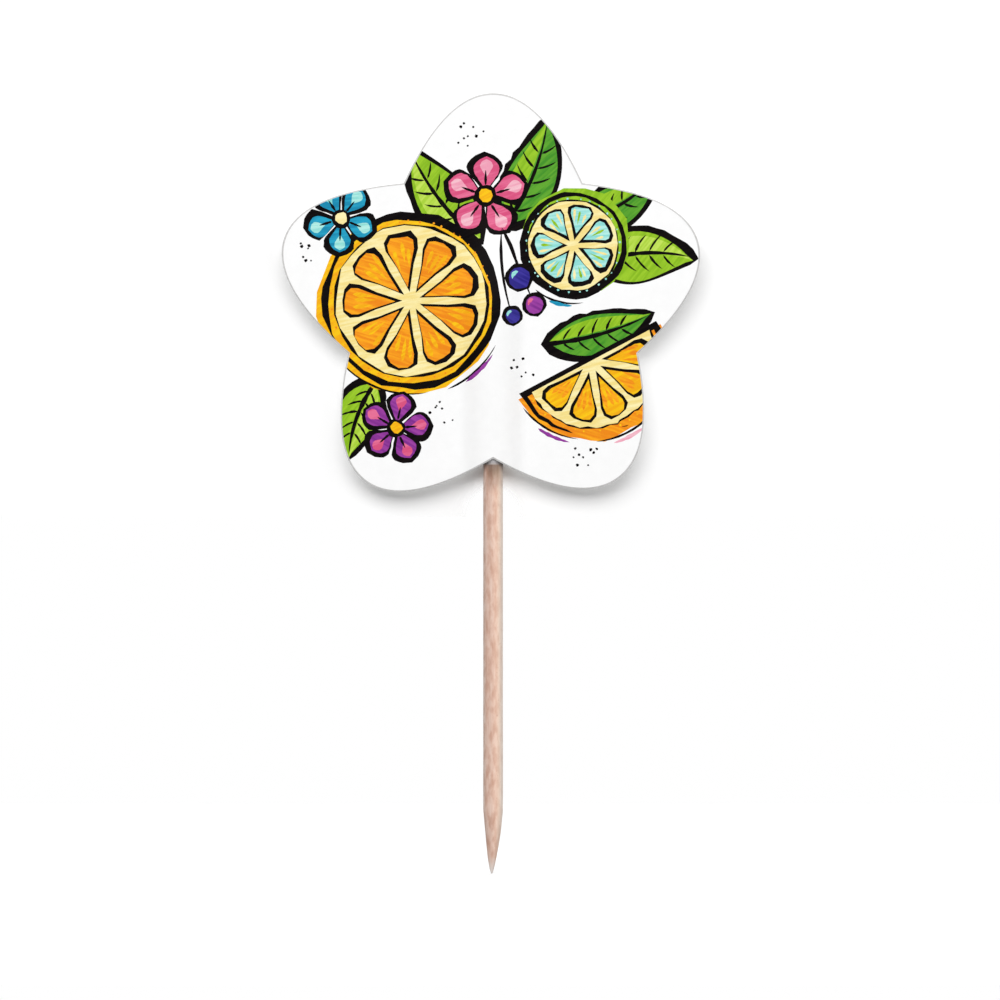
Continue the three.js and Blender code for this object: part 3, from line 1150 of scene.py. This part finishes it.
def stage_seen(nodes):
    """How much of the stage a ray sees: its front, for the camera, outside the faded arch."""
    face = nodes.join("NewGeometry").outputs
    camera = nodes.join("LightPath").outputs["Is Camera Ray"]
    front = nodes.join("Math", camera, face["Backfacing"], operation="SUBTRACT", use_clamp=True)
    foot = (0, 0, WALL_FOOT * MM)
    above = nodes.join("VectorMath", face["Position"], foot, operation="SUBTRACT")
    scale = (1 / (ARCH[0] * MM), 0, 1 / (ARCH[1] * MM))
    in_arches = nodes.join("VectorMath", above.outputs[0], scale, operation="MULTIPLY")
    distance = nodes.join("VectorMath", in_arches.outputs[0], operation="LENGTH").outputs["Value"]
    fade = nodes.join("MapRange", distance, *ARCH_FADE, interpolation_type="SMOOTHSTEP")
    return nodes.join("Math", front.outputs[0], fade.outputs[0], operation="MULTIPLY").outputs[0]


def stage_plane(name, corners, material):
    mesh = bpy.data.meshes.new(name)
    mesh.from_pydata(corners, [], [(0, 1, 2, 3)])
    mesh.materials.append(material)
    plane = bpy.data.objects.new(name, mesh)
    bpy.context.scene.collection.objects.link(plane)


def add_stage():
    half, behind = WALL_WIDTH / 2, DEPTH + WALL_GAP
    corners = [(-half, WALL_FOOT), (half, WALL_FOOT), (half, half), (-half, half)]
    wall = [Vector((x, behind, z)) * MM for x, z in corners]
    stage_plane("wall", wall, stage_finish("wall_white", WALL_LIFT))
    half = FLOOR_WIDTH / 2
    corners = [(-half, -half), (half, -half), (half, half), (-half, half)]
    floor = [Vector((x, y, 0)) * MM for x, y in corners]
    stage_plane("floor", floor, stage_finish("floor_white", FLOOR_LIFT))


# Light

WORLD_LIGHT = 0.2
# In metres
LAMP_DISTANCE = 1.0
# A wide lamp gives less than a small one of the same power, by this.
WIDE_LAMP_LOSS = 4 / 3


def add_world():
    """White where the camera, a gloss or a glass looks at it, and a soft even light otherwise."""
    world = bpy.data.worlds.new("studio")
    bpy.context.scene.world = world
    world.use_nodes = True
    nodes = Nodes(world.node_tree)
    rays = nodes.join("LightPath").outputs
    seen = rays["Is Camera Ray"]
    for name in ("Is Glossy Ray", "Is Transmission Ray"):
        seen = nodes.join("Math", seen, rays[name], operation="MAXIMUM").outputs[0]
    strength = nodes.node("MapRange", Value=seen, To_Min=WORLD_LIGHT, To_Max=1.0)
    background = world.node_tree.nodes["Background"]
    nodes.feed(background.inputs["Color"], WHITE)
    nodes.feed(background.inputs["Strength"], strength.outputs["Result"])


def add_lamp(name, direction, share, width, height):
    """A soft flat lamp in a direction from the flower. It adds this share of white to a card facing it."""
    aim = Vector((0, 0, FLOWER_HEIGHT * MM))
    towards_lamp = Vector(direction).normalized()
    data = bpy.data.lights.new(name, "AREA")
    data.shape = "RECTANGLE"
    data.size = width
    data.size_y = height
    data.energy = share * (math.pi * LAMP_DISTANCE) ** 2 * WIDE_LAMP_LOSS
    lamp = bpy.data.objects.new(name, data)
    lamp.location = aim + towards_lamp * LAMP_DISTANCE
    lamp.rotation_mode = "QUATERNION"
    lamp.rotation_quaternion = towards_lamp.to_track_quat("Z", "Y")
    bpy.context.scene.collection.objects.link(lamp)


def add_lamps():
    add_lamp("key", (-0.19, -0.81, 0.58), share=0.88, width=1.3, height=0.75)
    add_lamp("side", (0.75, -0.6, 0.2), share=0.19, width=0.8, height=0.8)
    add_lamp("back", (0.3, 0.8, 0.5), share=0.62, width=0.8, height=0.8)


# Camera

FRAME_WIDTH = 105.0
FRAME_MIDDLE = Vector((0.7245, 39.27))
LENS = 150.0
SENSOR = 36.0


def add_camera():
    """Square on to the front card, as the photograph shows it."""
    data = bpy.data.cameras.new("camera")
    data.lens = LENS
    data.sensor_width = SENSOR
    camera = bpy.data.objects.new("camera", data)
    distance = FRAME_WIDTH * LENS / SENSOR + INNER_FACE + CARD_THICKNESS
    camera.location = Vector((FRAME_MIDDLE.x, -distance, FRAME_MIDDLE.y)) * MM
    camera.rotation_euler = (math.pi / 2, 0, 0)
    bpy.context.scene.collection.objects.link(camera)
    bpy.context.scene.camera = camera


add_camera()
draw_print()
finishes = make_finishes()
add_piece("printed_card", card("printed_card", -1, art, "white"), "front_card")
add_piece("backing_card", card("backing_card", 1, [], "plain"), "back_card")
add_piece("pick", pick(), "wooden_pick")
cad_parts["glue_film"].data.materials.clear()
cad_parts["glue_film"].data.materials.append(glue_finish())
add_stage()
add_world()
add_lamps()
bpy.context.scene.view_settings.view_transform = "Standard"
